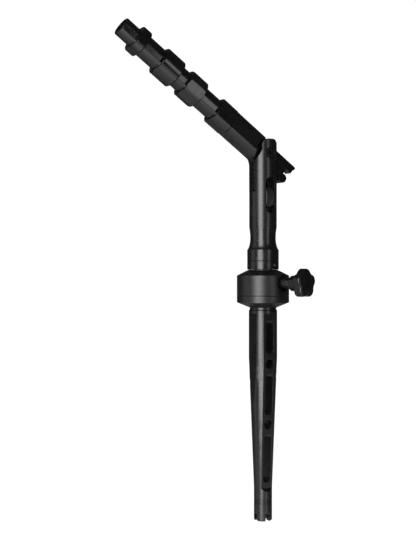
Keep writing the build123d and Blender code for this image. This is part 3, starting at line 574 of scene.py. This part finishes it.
class BoomMountAddSpring(bpy.types.Operator):
    """Makes the coil spring under the thumb lock"""

    bl_idname = "boom_mount.add_spring"
    bl_label = "Add coil spring"

    def execute(self, context):
        piece = ring_surface("coil_spring", coil_surface(context.scene.boom_mount_spring), 180)
        place(piece, "lock_spring", finish_for("spring_steel"))
        return {"FINISHED"}


def soft_light(name, place_at, target, width, height, power):
    """Rectangular area light at a place that faces a target."""
    data = bpy.data.lights.new(name, "AREA")
    data.shape = "RECTANGLE"
    data.size, data.size_y, data.energy = width, height, power
    light = bpy.data.objects.new(name, data)
    light.location = place_at
    light.rotation_mode = "QUATERNION"
    light.rotation_quaternion = (Vector(target) - Vector(place_at)).to_track_quat("-Z", "Y")
    light.visible_camera = False
    bpy.context.scene.collection.objects.link(light)


def show_to_eye(tree, seen, other, output):
    """The eye sees one shader and every other ray the other one."""
    path = tree.nodes.new("ShaderNodeLightPath")
    mix = tree.nodes.new("ShaderNodeMixShader")
    tree.links.new(path.outputs["Is Camera Ray"], mix.inputs["Fac"])
    tree.links.new(other.outputs[0], mix.inputs[1])
    tree.links.new(seen.outputs[0], mix.inputs[2])
    tree.links.new(mix.outputs[0], tree.nodes[output].inputs["Surface"])


def make_world():
    """White to the eye and dim to everything else, as a white sweep behind a dark studio is."""
    world = bpy.data.worlds.new("white_sweep")
    world.use_nodes = True
    tree = world.node_tree
    seen = tree.nodes["Background"]
    seen.inputs["Color"].default_value = (1, 1, 1, 1)
    seen.inputs["Strength"].default_value = WHITE_GLOW
    dim = tree.nodes.new("ShaderNodeBackground")
    dim.inputs["Color"].default_value = (1, 1, 1, 1)
    dim.inputs["Strength"].default_value = DIM_GLOW
    show_to_eye(tree, seen, dim, "World Output")
    bpy.context.scene.world = world


def make_floor(level, size=9.0):
    """Pale floor well under the part, lit from within so that it reads as white as the sweep.

    Only rays from the eye see its full glow, so that it lights the part from below no more than a sweep does.
    """
    shader = Shader("pale_floor")
    colour = shader.ramp(shader.noise(0.8, 2), (0.93, 0.93, 0.93), (0.97, 0.97, 0.97))
    roughness = shader.span(shader.noise(3.0, 2), 0.85, 0.95)
    normal = shader.bump(shader.noise(40, 2), 0.02, 1 * MM)
    material = shader.finish(colour, roughness, normal, specular=0.1)
    glow = shader.tree.nodes.new("ShaderNodeEmission")
    glow.inputs["Color"].default_value = (1, 1, 1, 1)
    glow.inputs["Strength"].default_value = WHITE_GLOW
    show_to_eye(shader.tree, glow, shader.principled, "Material Output")
    corners = [(-size, -size, level), (size, -size, level), (size, size, level), (-size, size, level)]
    mesh = bpy.data.meshes.new("pale_floor")
    mesh.from_pydata(corners, [], [(0, 1, 2, 3)])
    mesh.materials.append(material)
    floor = bpy.data.objects.new("pale_floor", mesh)
    bpy.context.scene.collection.objects.link(floor)
    floor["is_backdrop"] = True


class BoomMountAddStage(bpy.types.Operator):
    """Makes the floor, the white sweep, the lights and the camera"""

    bl_idname = "boom_mount.add_stage"
    bl_label = "Add stage"

    def execute(self, context):
        look = context.scene.boom_mount_stage
        low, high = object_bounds()
        middle = Vector((0, 0, (low.z + high.z) / 2))
        forward = Vector((math.sin(look.azimuth), math.cos(look.azimuth), 0))
        right = Vector((forward.y, -forward.x, 0))
        up = Vector((0, 0, 1))
        make_world()
        make_floor(low.z - FLOOR_DROP)
        for name, (power, (ahead, aside, above), width, height) in LIGHTS.items():
            place_at = middle + ahead * forward + aside * right + above * up
            soft_light(name, place_at, middle, width, height, getattr(look, power))
        camera = bpy.data.objects.new("camera", bpy.data.cameras.new("camera"))
        camera.data.lens = look.lens
        camera.data.sensor_width = SENSOR_WIDTH
        camera.data.clip_start, camera.data.clip_end = CLIP_NEAR, CLIP_FAR
        camera.location = -look.distance * forward - look.aside * right + look.height * up
        camera.rotation_mode = "QUATERNION"
        camera.rotation_quaternion = forward.to_track_quat("-Z", "Y")
        context.scene.collection.objects.link(camera)
        context.scene.camera = camera
        context.scene.view_settings.view_transform = "Standard"
        return {"FINISHED"}


OPERATORS = (
    BoomMountAddFinishes, BoomMountAddKnob, BoomMountAddButtons, BoomMountAddSpring, BoomMountAddStage,
)


class BoomMountPanel(bpy.types.Panel):
    """Lists the pieces of the boom mount in the sidebar"""

    bl_idname = "VIEW3D_PT_boom_mount"
    bl_label = "Boom Mount"
    bl_space_type = "VIEW_3D"
    bl_region_type = "UI"
    bl_category = "Boom Mount"

    def draw(self, context):
        for operator in OPERATORS:
            self.layout.operator(operator.bl_idname)
        for key, group in SETTINGS.items():
            box = self.layout.box()
            for name in group.__annotations__:
                box.prop(getattr(context.scene, key), name)


CLASSES = (*SETTINGS.values(), *OPERATORS, BoomMountPanel)


def register():
    for entry in CLASSES:
        bpy.utils.register_class(entry)
    for key, group in SETTINGS.items():
        setattr(bpy.types.Scene, key, PointerProperty(type=group))


def unregister():
    for key in SETTINGS:
        delattr(bpy.types.Scene, key)
    for entry in reversed(CLASSES):
        bpy.utils.unregister_class(entry)


def main():
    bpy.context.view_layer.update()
    register()
    bpy.ops.boom_mount.add_finishes()
    bpy.ops.boom_mount.add_knob()
    bpy.ops.boom_mount.add_buttons()
    bpy.ops.boom_mount.add_spring()
    bpy.ops.boom_mount.add_stage()


if __name__ == "__main__":
    main()
